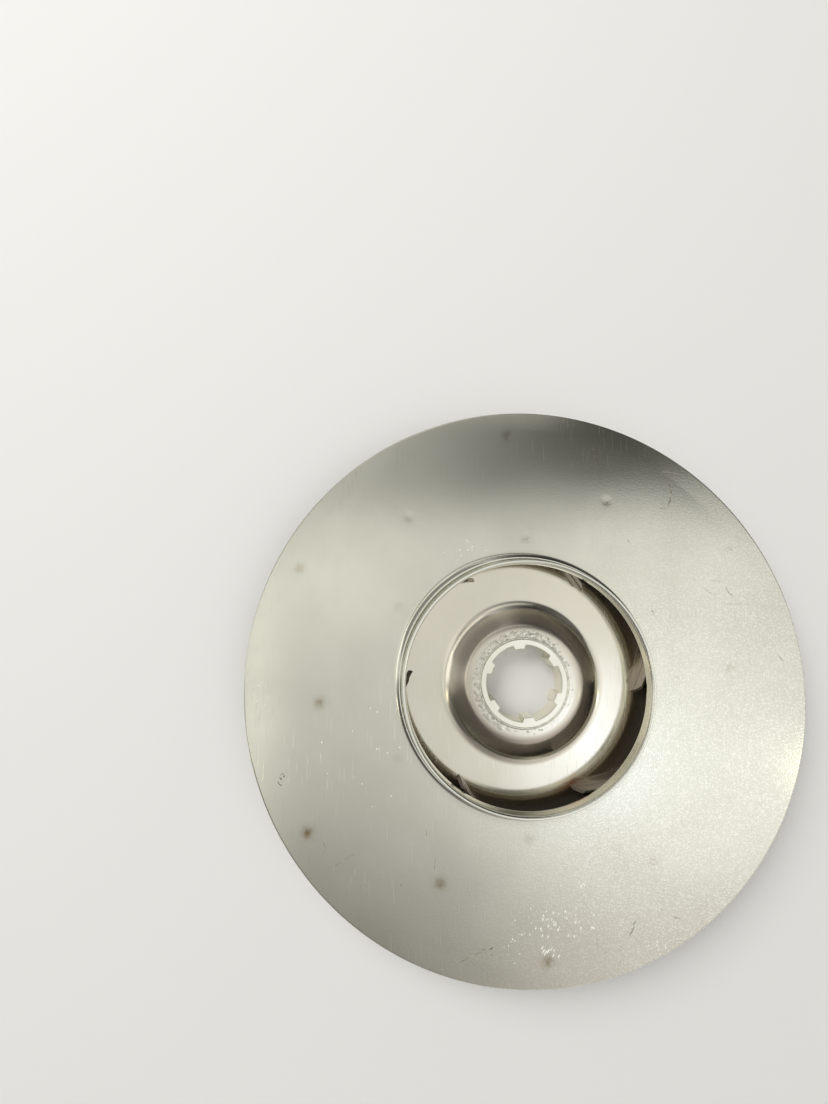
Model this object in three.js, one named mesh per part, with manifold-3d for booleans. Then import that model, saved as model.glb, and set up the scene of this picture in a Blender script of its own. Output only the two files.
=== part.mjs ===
// A closed impeller of a multistage pump, pressed and spot-welded from stainless steel sheet.
// It lies with its suction side up: millimetres, +Z up, the origin on the axis in the hub's lower end face.
import * as THREE from "three";
import { mergeVertices } from "three/addons/utils/BufferGeometryUtils.js";
import Module from "manifold-3d";

const wasm = await Module();
wasm.setup();

// Driving dimensions
const OUTER_RADIUS = 59;
const SHEET = 1;
const VANE_SHEET = 0.7;
const PASSAGE = 3.9;
const VANES = 6;

// The hub: a turned bush with a splined bore, and a collar that carries the hub plate
const BORE_RADIUS = 8.05;
const TOOTH_TIP_RADIUS = 7.15;
const TOOTH_COUNT = 6;
const TOOTH_ROOT_WIDTH = 2.6;
const TOOTH_TIP_WIDTH = 1.9;
const TOOTH_PHASE = 36;
const COLLAR_RADIUS = 11;
const SPIGOT_RADIUS = 9.3;
const HUB_LENGTH = 5.6;
const COLLAR_LENGTH = 4.1;
const HUB_REACH_BELOW = 1.6;
const SEAT_GAP = 0.3;

// The neck round the suction eye: drawing it up has thinned its wall
const NECK_INNER_RADIUS = 25.25;
const NECK_WALL = 0.85;
const NECK_RISE = 2.7;
const NECK_FILLET = 2.4;
const NECK_INNER_BEND = 1.3;

// The boss that is drawn up in the middle of the hub plate
const BOSS_TOP_RADIUS = 12.15;
const BOSS_FOOT_RADIUS = 16.6;
const BOSS_TOP_BEND = 3.6;
const BOSS_FOOT_BEND = 4.8;

// The vanes, seen from the suction side: each starts in the eye and runs outward against the turning
const VANE_START_RADIUS = 24.3;
const VANE_END_RADIUS = 58.4;
const VANE_PHASE = 54.2;
const VANE_TURN_PER_E_FOLD = 123;
const VANE_LEAD_SETBACK = 2;
const FLANGE_WIDTH = 2.2;
const FLANGE_START_RADIUS = 29;
const FLANGE_END_RADIUS = 56.9;

// How finely the round shapes are divided, and how far a cutter overhangs what it cuts
const ROUND_STEPS = 72;
const BEND_STEPS = 3;
const VANE_STEPS = 14;
const TOOTH_GAP_STEPS = 8;
const OVERHANG = 1;
const MERGE_DISTANCE = 1e-4;

// Heights that follow from them
const plateBottom = HUB_REACH_BELOW;
const plateTop = plateBottom + SHEET;
const shroudBottom = plateTop + PASSAGE;
const shroudTop = shroudBottom + SHEET;
const neckTop = shroudTop + NECK_RISE;
const seatHeight = COLLAR_LENGTH + SEAT_GAP;

const satinSteel = new THREE.MeshStandardMaterial({ color: 0xc9c4b6, roughness: 0.36, metalness: 1 });
const plateSteel = new THREE.MeshStandardMaterial({ color: 0xc6c4bd, roughness: 0.3, metalness: 1 });
const vaneSteel = new THREE.MeshStandardMaterial({ color: 0xb9b4a6, roughness: 0.4, metalness: 1 });
const turnedSteel = new THREE.MeshStandardMaterial({ color: 0xcfccc0, roughness: 0.45, metalness: 1 });

const degrees = (angle) => (angle * Math.PI) / 180;

// A manifold solid from a closed three.js geometry
function toSolid(geometry) {
  const bare = geometry.clone();
  bare.deleteAttribute("normal");
  bare.deleteAttribute("uv");
  const merged = mergeVertices(bare, MERGE_DISTANCE);
  return new wasm.Manifold(
    new wasm.Mesh({
      numProp: 3,
      vertProperties: Float32Array.from(merged.attributes.position.array),
      triVerts: Uint32Array.from(merged.index.array),
    }),
  );
}

function toGeometry(solid) {
  const mesh = solid.getMesh();
  const geometry = new THREE.BufferGeometry();
  geometry.setAttribute("position", new THREE.BufferAttribute(Float32Array.from(mesh.vertProperties), 3));
  geometry.setIndex(new THREE.BufferAttribute(Uint32Array.from(mesh.triVerts), 1));
  geometry.computeVertexNormals();
  return geometry;
}

// Points of an arc in the (radius, height) plane, from one angle to another
function arc(centreRadius, centreHeight, radius, from, to, steps = BEND_STEPS) {
  return Array.from({ length: steps + 1 }, (_, i) => {
    const angle = degrees(from + ((to - from) * i) / steps);
    return new THREE.Vector2(centreRadius + radius * Math.cos(angle), centreHeight + radius * Math.sin(angle));
  });
}

// A turned or spun solid about Z from a profile of (radius, height) points, listed anticlockwise
function revolve(profile) {
  const geometry = new THREE.LatheGeometry([...profile, profile[0]], ROUND_STEPS);
  geometry.rotateX(Math.PI / 2);
  return geometry;
}

function frontShroud() {
  const neckOuter = NECK_INNER_RADIUS + NECK_WALL;
  const profile = [
    new THREE.Vector2(OUTER_RADIUS, shroudBottom),
    new THREE.Vector2(OUTER_RADIUS, shroudTop),
    ...arc(neckOuter + NECK_FILLET, shroudTop + NECK_FILLET, NECK_FILLET, 270, 180),
    new THREE.Vector2(neckOuter, neckTop),
    new THREE.Vector2(NECK_INNER_RADIUS, neckTop),
    ...arc(NECK_INNER_RADIUS + NECK_INNER_BEND, shroudBottom + NECK_INNER_BEND, NECK_INNER_BEND, 180, 270),
  ];
  return revolve(profile);
}

// The hub plate is flat outside and rises in a cone to the ring that is welded to the hub
function hubPlate() {
  const inner = SPIGOT_RADIUS + SEAT_GAP;
  const topHeight = seatHeight + SHEET;
  const rise = topHeight - plateTop;
  const slope = Math.atan2(rise, BOSS_FOOT_RADIUS - BOSS_TOP_RADIUS);
  const slopeDegrees = (slope * 180) / Math.PI;
  const topCentre = [BOSS_TOP_RADIUS - BOSS_TOP_BEND * Math.tan(slope / 2), topHeight - BOSS_TOP_BEND];
  const footCentre = [BOSS_FOOT_RADIUS + BOSS_FOOT_BEND * Math.tan(slope / 2), plateTop + BOSS_FOOT_BEND];
  const profile = [
    new THREE.Vector2(OUTER_RADIUS, plateBottom),
    new THREE.Vector2(OUTER_RADIUS, plateTop),
    ...arc(footCentre[0], footCentre[1], BOSS_FOOT_BEND, 270, 270 - slopeDegrees),
    ...arc(topCentre[0], topCentre[1], BOSS_TOP_BEND, 90 - slopeDegrees, 90),
    new THREE.Vector2(inner, topHeight),
    new THREE.Vector2(inner, seatHeight),
    ...arc(topCentre[0], topCentre[1], BOSS_TOP_BEND - SHEET, 90, 90 - slopeDegrees),
    ...arc(footCentre[0], footCentre[1], BOSS_FOOT_BEND + SHEET, 270 - slopeDegrees, 270),
  ];
  return revolve(profile);
}

// The outline of the splined hole: a circle with teeth that stand inward
function splineOutline() {
  const points = [];
  const rootHalf = Math.asin(TOOTH_ROOT_WIDTH / 2 / BORE_RADIUS);
  const tipHalf = Math.asin(TOOTH_TIP_WIDTH / 2 / TOOTH_TIP_RADIUS);
  const pitch = (2 * Math.PI) / TOOTH_COUNT;
  for (let tooth = 0; tooth < TOOTH_COUNT; tooth++) {
    const middle = degrees(TOOTH_PHASE) + tooth * pitch;
    points.push([BORE_RADIUS, middle - rootHalf]);
    points.push([TOOTH_TIP_RADIUS, middle - tipHalf]);
    points.push([TOOTH_TIP_RADIUS, middle + tipHalf]);
    for (let i = 0; i < TOOTH_GAP_STEPS; i++) {
      points.push([BORE_RADIUS, middle + rootHalf + ((pitch - 2 * rootHalf) * i) / TOOTH_GAP_STEPS]);
    }
  }
  return points.map(([radius, angle]) => new THREE.Vector2(radius * Math.cos(angle), radius * Math.sin(angle)));
}

function hub() {
  const blank = revolve([
    new THREE.Vector2(0, 0),
    new THREE.Vector2(COLLAR_RADIUS, 0),
    new THREE.Vector2(COLLAR_RADIUS, COLLAR_LENGTH),
    new THREE.Vector2(SPIGOT_RADIUS, COLLAR_LENGTH),
    new THREE.Vector2(SPIGOT_RADIUS, HUB_LENGTH),
    new THREE.Vector2(0, HUB_LENGTH),
  ]);
  const cutter = new THREE.ExtrudeGeometry(new THREE.Shape(splineOutline()), {
    depth: HUB_LENGTH + 2 * OVERHANG,
    bevelEnabled: false,
  });
  cutter.translate(0, 0, -OVERHANG);
  return toGeometry(toSolid(blank).subtract(toSolid(cutter)));
}

// The vane's line is a logarithmic spiral: it turns by the same angle each time the radius grows e-fold
function vanePoint(radius, offset) {
  const turn = degrees(VANE_TURN_PER_E_FOLD);
  const angle = turn * Math.log(radius / VANE_START_RADIUS);
  const along = new THREE.Vector2(1 / turn, 1).normalize().rotateAround(new THREE.Vector2(), angle);
  const side = new THREE.Vector2(-along.y, along.x);
  return new THREE.Vector2(Math.cos(angle), Math.sin(angle)).multiplyScalar(radius).addScaledVector(side, offset);
}

// A strip that follows the spiral between two offsets, lying between two heights
function vaneStrip(fromRadius, toRadius, innerOffset, outerOffset, low, high) {
  const radii = Array.from({ length: VANE_STEPS + 1 }, (_, i) =>
    fromRadius * Math.pow(toRadius / fromRadius, i / VANE_STEPS));
  const outline = [
    ...radii.map((radius) => vanePoint(radius, innerOffset)),
    ...radii.reverse().map((radius) => vanePoint(radius, outerOffset)),
  ];
  const geometry = new THREE.ExtrudeGeometry(new THREE.Shape(outline), { depth: high - low, bevelEnabled: false });
  geometry.translate(0, 0, low);
  return geometry;
}

// The block that trims a web's start to its slanted leading edge: the edge leans back on its way up
function leadTrimmer() {
  const reach = 2 * PASSAGE;
  const block = new THREE.BoxGeometry(reach, reach, 2 * reach);
  block.translate(0, -reach / 2, 0);
  block.rotateX(-Math.atan2(VANE_LEAD_SETBACK, PASSAGE));
  block.rotateZ(Math.atan(degrees(VANE_TURN_PER_E_FOLD)) - Math.PI / 2);
  block.translate(VANE_START_RADIUS, 0, plateTop);
  return block;
}

// Each vane is a channel: a web across the passage and a flange welded to each plate
function vane() {
  const half = VANE_SHEET / 2;
  const web = vaneStrip(VANE_START_RADIUS - OVERHANG, VANE_END_RADIUS, -half, half, plateTop, shroudBottom);
  const [lower, upper] = [plateTop, shroudBottom - VANE_SHEET].map((low) =>
    vaneStrip(FLANGE_START_RADIUS, FLANGE_END_RADIUS, -half, FLANGE_WIDTH, low, low + VANE_SHEET));
  const trimmed = toSolid(web).subtract(toSolid(leadTrimmer()));
  return toGeometry(trimmed.add(toSolid(lower)).add(toSolid(upper)));
}

function part(name, geometry, material) {
  const mesh = new THREE.Mesh(geometry, material);
  mesh.name = name;
  return mesh;
}

const impeller = new THREE.Group();
impeller.add(part("front_shroud", frontShroud(), satinSteel));
impeller.add(part("hub_plate", hubPlate(), plateSteel));
impeller.add(part("splined_hub", hub(), turnedSteel));
for (let i = 0; i < VANES; i++) {
  const blade = part("vane_" + (i + 1), vane(), vaneSteel);
  blade.rotation.z = degrees(VANE_PHASE + (360 * i) / VANES);
  impeller.add(blade);
}

export default impeller;
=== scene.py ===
"""Looks of a pump impeller, pressed and spot-welded from stainless sheet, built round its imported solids."""

import logging
import math
from dataclasses import dataclass
from enum import Enum

import bpy
import numpy as np
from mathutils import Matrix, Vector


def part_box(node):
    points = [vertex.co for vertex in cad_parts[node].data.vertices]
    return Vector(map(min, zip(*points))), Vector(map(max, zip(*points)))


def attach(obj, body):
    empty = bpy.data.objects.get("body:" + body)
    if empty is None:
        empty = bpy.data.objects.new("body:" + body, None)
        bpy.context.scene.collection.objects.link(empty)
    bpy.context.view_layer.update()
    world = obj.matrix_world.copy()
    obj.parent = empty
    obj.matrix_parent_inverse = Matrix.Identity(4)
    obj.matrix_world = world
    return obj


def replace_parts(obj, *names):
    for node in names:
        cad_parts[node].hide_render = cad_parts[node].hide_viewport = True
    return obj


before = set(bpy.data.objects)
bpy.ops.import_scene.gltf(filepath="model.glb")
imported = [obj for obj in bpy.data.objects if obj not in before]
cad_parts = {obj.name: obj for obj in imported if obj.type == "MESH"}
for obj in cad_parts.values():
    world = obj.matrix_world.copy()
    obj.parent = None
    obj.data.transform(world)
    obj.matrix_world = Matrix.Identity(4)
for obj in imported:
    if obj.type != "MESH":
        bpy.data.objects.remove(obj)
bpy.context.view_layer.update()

log = logging.getLogger("impeller")

Array = np.ndarray
Tree, Node, Socket = bpy.types.NodeTree, bpy.types.Node, bpy.types.NodeSocket

MM = 0.001

# The photograph's frame, its focal length in its own pixels, and the camera's place over the impeller
PHOTO_HEIGHT_PX = 1104
FOCAL_LENGTH_PX = 500
SENSOR_MM = 36
CAMERA_PLACE_MM = (-24.9, 16.4, 114.3)
CAMERA_TILT_DEG = (6.15, -0.72, 0.0)

# Sizes in millimetres and turns in degrees, as the solids have them
SHEET = 1.0
VANE_SHEET = 0.7
NECK_INNER_RADIUS = 25.25
NECK_WALL = 0.85
NECK_FILLET = 2.4
NECK_INNER_BEND = 1.3
BOSS_TOP_RADIUS = 12.15
BOSS_FOOT_RADIUS = 16.6
BOSS_FOOT_BEND = 4.8
BORE_RADIUS = 8.05
TOOTH_TIP_RADIUS = 7.15
TOOTH_ROOT_WIDTH = 2.6
TOOTH_TIP_WIDTH = 1.9
TOOTH_COUNT = 6
TOOTH_PHASE_DEG = 36.0
SPIGOT_RADIUS = 9.3
COLLAR_LENGTH = 4.1
PLATE_INNER_RADIUS = 9.6
VANE_COUNT = 6
VANE_PITCH_DEG = 360 / VANE_COUNT
VANE_PHASE_DEG = 54.2
VANE_START_RADIUS = 24.3
VANE_END_RADIUS = 58.4
VANE_TURN_PER_E_FOLD_DEG = 123.0
VANE_LEAD_SETBACK = 2.0
FLANGE_WIDTH = 2.2
FLANGE_START_RADIUS = 29.0

# Finer sizes that the solids leave out: the boss's edge in two radii, and the rounding of the cut edges
BOSS_SHOULDER_BEND = 8.5
BOSS_SHOULDER_TURN_DEG = 10.0
BOSS_TOP_BEND = 2.5
CUT_EDGE_ROUNDING = 0.12
RIM_EDGE_ROUNDING = 0.3
NECK_EDGE_ROUNDING = 0.12
NECK_LIP_ROUNDING = 0.55

# How close grid lines may come to each other, and how close one follows an edge, in millimetres
LEAST_STEP = 0.02
EDGE_SUPPORT = 0.1
CORNER_STEPS = 5

# A wave texture of scale one has a crest every 0.314 units
WAVE_SPACING = 0.314


def linear_colour(hex_colour: str) -> tuple[float, float, float, float]:
    """Turns an sRGB hex colour into linear light.

    Args:
        hex_colour: six hex digits.

    Returns:
        Linear red, green, blue and an alpha of one.
    """
    srgb = [int(hex_colour[i:i + 2], 16) / 255 for i in (0, 2, 4)]
    red, green, blue = [c / 12.92 if c <= 0.04045 else ((c + 0.055) / 1.055) ** 2.4 for c in srgb]
    return red, green, blue, 1.0


def put(tree: Tree, kind: str, inputs: dict | tuple = (), **settings) -> Node:
    """Adds one node with its settings, values and links.

    Args:
        tree: the node tree that gets the node.
        kind: Blender's name of the node's type.
        inputs: by name or in order, each a value, an output, or a node for its first output in use.
            The order of a map range is value, from min, from max, to min and to max.
        settings: the node's own properties.

    Returns:
        The new node.
    """
    node = tree.nodes.new(kind)
    for name, value in settings.items():
        setattr(node, name, value)
    for name, value in inputs.items() if isinstance(inputs, dict) else enumerate(inputs):
        if isinstance(value, Node):
            value = next(socket for socket in value.outputs if socket.enabled)
        if isinstance(value, Socket):
            tree.links.new(value, node.inputs[name])
        else:
            node.inputs[name].default_value = value
    return node


def new_object(name: str, data: bpy.types.ID) -> bpy.types.Object:
    """Makes an object and links it into the scene."""
    made = bpy.data.objects.new(name, data)
    bpy.context.scene.collection.objects.link(made)
    return made


def ramp(value: Array, start: float, reach: float) -> Array:
    """Rises evenly from zero to one: how far the value is past the start, divided by the reach."""
    return np.clip((value - start) / reach, 0, 1)


def eased(share: Array) -> Array:
    """Bends an even rise from zero to one into an S: three squares less two cubes."""
    return share * share * (3 - 2 * share)


def bell(away: Array, reach: float) -> Array:
    """A bell curve: the exponential of minus the square of the distance divided by the reach."""
    return np.exp(-(away / reach) ** 2)


def smooth_noise(x: Array, y: Array, size: float, seed: int) -> Array:
    """Gentle relief of about -1 to 1: the sum of twelve plane waves of random direction, phase and length.

    Args:
        x: places along X in millimetres.
        y: places along Y, of the same shape.
        size: the usual length of a wave in millimetres.
        seed: the seed of the random draws.

    Returns:
        The relief at each place.
    """
    draw = np.random.default_rng(seed)
    waves = 12
    heading = draw.uniform(0, 2 * np.pi, waves)
    phase = draw.uniform(0, 2 * np.pi, waves)
    wave_number = 2 * np.pi / (size * draw.uniform(0.7, 1.6, waves))
    along = x[..., None] * np.cos(heading) + y[..., None] * np.sin(heading)
    return np.cos(along * wave_number + phase).sum(axis=-1) / np.sqrt(2 * waves)


def graded(start: float, stop: float, spacing: float, centres: tuple = (), half: float = 1.5,
           fine: float = 0.2) -> Array:
    """Positions from start to stop: evenly spaced, closer round each centre, and with one close to each end.

    Args:
        start: the first position.
        stop: the last position.
        spacing: the usual step.
        centres: where the steps are short.
        half: how far the short steps reach on each side of a centre.
        fine: the short step.

    Returns:
        The positions in order.
    """
    low, high = min(start, stop), max(start, stop)
    support = min(EDGE_SUPPORT, (high - low) / 4)
    coarse = np.linspace(low, high, max(2, round((high - low) / spacing) + 1))
    coarse = np.concatenate([coarse, [low + support, high - support]])
    dense = np.array([])
    if len(centres):
        middle = np.asarray(centres)[:, None]
        near = np.abs(coarse[:, None] - middle.T).min(axis=1) < half
        coarse = coarse[~near | (coarse == low) | (coarse == high)]
        dense = (middle + np.arange(-half, half + fine / 2, fine)).ravel()
        dense = dense[(dense > low) & (dense < high)]
    both = np.unique(np.round(np.concatenate([coarse, dense]), 6))
    kept = both[np.concatenate([[True], np.diff(both) > LEAST_STEP])]
    return kept if start < stop else kept[::-1]


def arc(centre: tuple[float, float], radius: float, start: float, stop: float, steps: int) -> Array:
    """Points of an arc: centre plus radius times the cosine and sine of even angles in degrees."""
    angle = np.radians(np.linspace(start, stop, steps + 1))
    return np.column_stack([centre[0] + radius * np.cos(angle), centre[1] + radius * np.sin(angle)])


def run(*stretches: Array) -> Array:
    """Joins stretches of points end to end and drops a point that repeats the one before it."""
    points = np.concatenate(stretches)
    return points[np.concatenate([[True], np.linalg.norm(np.diff(points, axis=0), axis=1) > 1e-4])]


def straight(across: Array | float, height: Array | float) -> Array:
    """Points of a level or an upright stretch: one of the two values is the same for them all."""
    return np.column_stack(np.broadcast_arrays(across, height))


def unit_steps(line: Array) -> Array:
    """The unit direction of travel at each point of a line."""
    along = np.gradient(line, axis=0)
    return along / np.linalg.norm(along, axis=1)[:, None]


def right_of(line: Array) -> Array:
    """The unit normal on a line's right at each point: its direction of travel turned clockwise."""
    along = unit_steps(line)
    return np.column_stack([along[:, 1], -along[:, 0]])


def offset_line(line: Array, depth: float) -> Array:
    """A line's parallel on its left: each point moved by the depth against the line's right-hand normal."""
    return line - depth * right_of(line)


def rounded_end(end: Array, ahead: Array, out: Array, thickness: float,
                corner: float) -> Array:
    """The cut end of a sheet, outer face to inner: two quarter circles with the flat cut between.

    Args:
        end: the last point of the outer face.
        ahead: the unit vector along the sheet, past its end.
        out: the unit vector out of the outer face.
        thickness: the sheet's thickness.
        corner: the radius of the two quarter circles.

    Returns:
        The end's points, without the last points of the two faces.
    """
    turn = np.radians(np.linspace(90, 0, CORNER_STEPS + 1))[1:]
    sunk = corner * (1 - np.sin(turn))
    rise = np.concatenate([-sunk, sunk[::-1] - thickness])
    reach = corner * np.cos(np.concatenate([turn, turn[::-1]]))
    return end + np.outer(rise, out) + np.outer(reach, ahead)


def closed_section(face: Array, inner: Array, corner: float) -> Array:
    """A sheet's closed section: its outer face, its inner face and two rounded cut ends.

    Args:
        face: the outer face's points, with the metal on their left.
        inner: the inner face's points, in the same order, whose ends lie straight across from the face's.
        corner: the rounding of the cut ends.

    Returns:
        The section's points, anticlockwise.
    """
    along, out = unit_steps(face), right_of(face)
    thickness = np.linalg.norm(face[[0, -1]] - inner[[0, -1]], axis=1)
    last = rounded_end(face[-1], along[-1], out[-1], thickness[1], corner)
    first = rounded_end(face[0], -along[0], out[0], thickness[0], corner)[::-1]
    return np.concatenate([face, last, inner[::-1], first])


def ring_faces(rows: int, columns: int, wrap_columns: bool = True) -> Array:
    """Four-cornered faces of a grid whose rows close on themselves, and whose columns may too.

    Args:
        rows: how many rows the grid has.
        columns: how many columns it has.
        wrap_columns: whether the last column meets the first.

    Returns:
        The point numbers of each face.
    """
    i, j = np.meshgrid(np.arange(rows), np.arange(columns if wrap_columns else columns - 1), indexing="ij")
    next_i, next_j = (i + 1) % rows, (j + 1) % columns
    corners = [i * columns + j, i * columns + next_j, next_i * columns + next_j, next_i * columns + j]
    return np.stack(corners, axis=-1).reshape(-1, 4)


def turned(section: Array, angles: Array) -> Array:
    """A section turned about Z: x is radius times cosine, y radius times sine, z the section's height."""
    radius, height = section[:, 0][:, None], section[:, 1][:, None]
    return np.stack([radius * np.cos(angles), radius * np.sin(angles), height + 0 * angles], axis=-1)


class Shell:
    """Closed surfaces that make one piece: points in millimetres, faces, and a value for each point."""

    def __init__(self, name: str) -> None:
        """Starts an empty piece.

        Args:
            name: the piece's name.
        """
        self.name = name
        self.points: list[Array] = []
        self.faces: list[Array] = []
        self.values: dict[str, list[Array]] = {}
        self.count = 0

    def add(self, points: Array, faces: Array | None = None, **values: Array | float) -> None:
        """Adds a closed surface.

        Args:
            points: places in millimetres, in an array whose last axis is x, y and z.
            faces: point numbers of each face, or none for a grid that closes both ways.
            values: one number for each point, by the attribute's name.
        """
        faces = ring_faces(*points.shape[:2]) if faces is None else faces
        flat = points.reshape(-1, 3)
        self.points.append(flat)
        self.faces.append(faces + self.count)
        for key, value in values.items():
            self.values.setdefault(key, []).append(np.broadcast_to(value, points.shape[:-1]).ravel())
        self.count += len(flat)

    def piece(self, finish: "SteelFinish", crease: float = 40.0) -> bpy.types.Object:
        """Makes the mesh object, with smooth shading up to the crease angle, and lets it ride on the part.

        Args:
            finish: the surface's finish.
            crease: faces that meet at more than this angle in degrees keep a sharp edge.

        Returns:
            The object, at the origin, with its place in its mesh.
        """
        mesh = bpy.data.meshes.new(self.name)
        faces = np.concatenate(self.faces)
        mesh.from_pydata(np.concatenate(self.points) * MM, [], faces.tolist())
        for key, value in self.values.items():
            mesh.attributes.new(key, "FLOAT", "POINT").data.foreach_set("value", np.concatenate(value))
        mesh.shade_smooth()
        mesh.set_sharp_from_angle(angle=math.radians(crease))
        mesh.materials.append(finish.material())
        made = new_object(self.name, mesh)
        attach(made, "root")
        log.info("%s: %d points, %d faces", self.name, self.count, len(faces))
        return made


@dataclass(frozen=True)
class SteelFinish:
    """Stainless steel 1.4301 with one surface: its tint, gloss, sandy tooth with painted sparkle, hairlines
    and heat stains.

    A rolled 2B sheet is a soft grey mirror with a fine tooth, high where the sheet is sandy, where its
    sparkle is painted as pale grains. A turned face shows rings, a weld is rough, and a brown film dulls what
    has stood in water. The real tooth and hairlines are too fine to show, so both are drawn coarser.
    """

    name: str
    tint: str = "dfded0"
    dull_tint: str = "d8d7c9"
    # The stain and film tints also paint the shade in the scratches' grooves
    stain_tint: str = "8c7850"
    film_tint: str = "a59a8c"
    # The pale tint and share of the sandy grains: painted sparkle
    sparkle_tint: str = "faf8f0"
    sparkle_share: float = 0.55
    film_roughness: float = 0.34
    film_cover: float = 0.45
    metallic: float = 1.0
    roughness: float = 0.12
    roughness_spread: float = 0.015
    mottle_mm: float = 11.0
    mottle_span: tuple[float, float] = (0.3, 0.7)
    stain_mottle_mm: float = 0.9
    stain_gain: tuple[float, float] = (0.6, 1.3)
    grain_mm: float = 0.32
    grain_span: tuple[float, float] = (0.48, 0.68)
    grain_depth_mm: tuple[float, float] = (0.002, 0.012)
    hairline_share: float = 0.0
    hairline_mm: tuple[float, float] = (0.3, 7.0)
    hairline_edge: float = 0.04
    hairline_depth_mm: float = 0.004
    hairline_turns: tuple[float, ...] = (0.1, 1.25, 2.1)
    ring_mm: float = 0.0
    ring_depth_mm: float = 0.002
    ring_wobble: float = 0.4

    def material(self) -> bpy.types.Material:
        """Returns the finish's material, made once and then shared."""
        made = bpy.data.materials.get(self.name)
        return made if made else self.build()

    def build(self) -> bpy.types.Material:
        """Makes the node tree. Each tint covers the one before it, by mottle, sand with its painted sparkle,
        film and stain.

        Returns:
            The material.
        """
        made = bpy.data.materials.new(self.name)
        made.use_nodes = True
        tree = made.node_tree
        tree.nodes.clear()
        place = put(tree, "ShaderNodeTexCoord").outputs["Object"]
        sand, film, stain = [put(tree, "ShaderNodeAttribute", attribute_name=name).outputs["Fac"]
                             for name in ("sand", "film", "stain")]
        mottle = put(tree, "ShaderNodeTexNoise",
                     {"Vector": place, "Scale": 1 / (self.mottle_mm * MM), "Detail": 3.0})
        blotch = put(tree, "ShaderNodeMapRange", (mottle, *self.mottle_span))
        tooth = put(tree, "ShaderNodeTexNoise",
                    {"Vector": place, "Scale": 1 / (self.grain_mm * MM), "Detail": 1.5})
        # Pale grains where the sheet is sandy: painted sparkle
        grains = put(tree, "ShaderNodeMapRange", (tooth, *self.grain_span, 0.0, self.sparkle_share))
        pale = put(tree, "ShaderNodeMath", (grains, sand), operation="MULTIPLY", use_clamp=True)
        patchy = put(tree, "ShaderNodeTexNoise", {"Vector": place, "Scale": 1 / (self.stain_mottle_mm * MM)})
        ragged = put(tree, "ShaderNodeMapRange", (patchy, *self.mottle_span, *self.stain_gain))
        brown = put(tree, "ShaderNodeMath", (stain, ragged), operation="MULTIPLY", use_clamp=True)
        colour = linear_colour(self.dull_tint)
        tints = (self.tint, self.sparkle_tint, self.film_tint, self.stain_tint)
        for share, tint in zip((blotch, pale, film, brown), tints):
            colour = put(tree, "ShaderNodeMix", {"Factor": share, "A": colour, "B": linear_colour(tint)},
                         data_type="RGBA")
        rough, smooth = self.roughness + self.roughness_spread, self.roughness - self.roughness_spread
        gloss = put(tree, "ShaderNodeMapRange", (blotch, 0.0, 1.0, rough, smooth))
        dull_gloss = put(tree, "ShaderNodeMapRange", (film, 0.0, 1.0, gloss, self.film_roughness))
        bare = put(tree, "ShaderNodeMath", (film, -self.film_cover, self.metallic), operation="MULTIPLY_ADD")
        relief = self.relief(tree, place, tooth, sand)
        shader = put(tree, "ShaderNodeBsdfPrincipled",
                     {"Base Color": colour, "Metallic": bare, "Roughness": dull_gloss, "Normal": relief})
        put(tree, "ShaderNodeOutputMaterial", {"Surface": shader})
        return made

    def relief(self, tree: Tree, place: Socket, tooth: Node, sand: Socket) -> Node:
        """The fine tooth of the surface, its turned rings and its hairlines, as a bump in millimetres.

        Args:
            tree: the material's node tree.
            place: the object coordinates.
            tooth: the noise that gives the tooth its height.
            sand: how sandy the surface is, from none to one.

        Returns:
            The last bump.
        """
        low, high = self.grain_depth_mm
        depth = put(tree, "ShaderNodeMapRange", (sand, 0.0, 1.0, low * MM, high * MM))
        bumped = put(tree, "ShaderNodeBump", {"Height": tooth, "Distance": depth})
        if self.ring_mm:
            scale = WAVE_SPACING / (self.ring_mm * MM)
            rings = put(tree, "ShaderNodeTexWave",
                        {"Vector": place, "Scale": scale, "Distortion": self.ring_wobble},
                        wave_type="RINGS", rings_direction="Z")
            bumped = put(tree, "ShaderNodeBump", {"Height": rings.outputs["Fac"], "Normal": bumped,
                                                  "Distance": self.ring_depth_mm * MM})
        across, along = [1 / (size * MM) for size in self.hairline_mm]
        for turn in self.hairline_turns if self.hairline_share else ():
            stretched = put(tree, "ShaderNodeMapping",
                            {"Vector": place, "Rotation": (0, 0, turn), "Scale": (across, along, 1)})
            lines = put(tree, "ShaderNodeTexNoise", {"Vector": stretched, "Scale": 1.0, "Detail": 0.0})
            edge = 1 - self.hairline_share
            scored = put(tree, "ShaderNodeMapRange", (lines, edge, edge + self.hairline_edge))
            bumped = put(tree, "ShaderNodeBump", {"Height": scored, "Normal": bumped,
                                                  "Distance": -self.hairline_depth_mm * MM})
        return bumped


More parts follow.
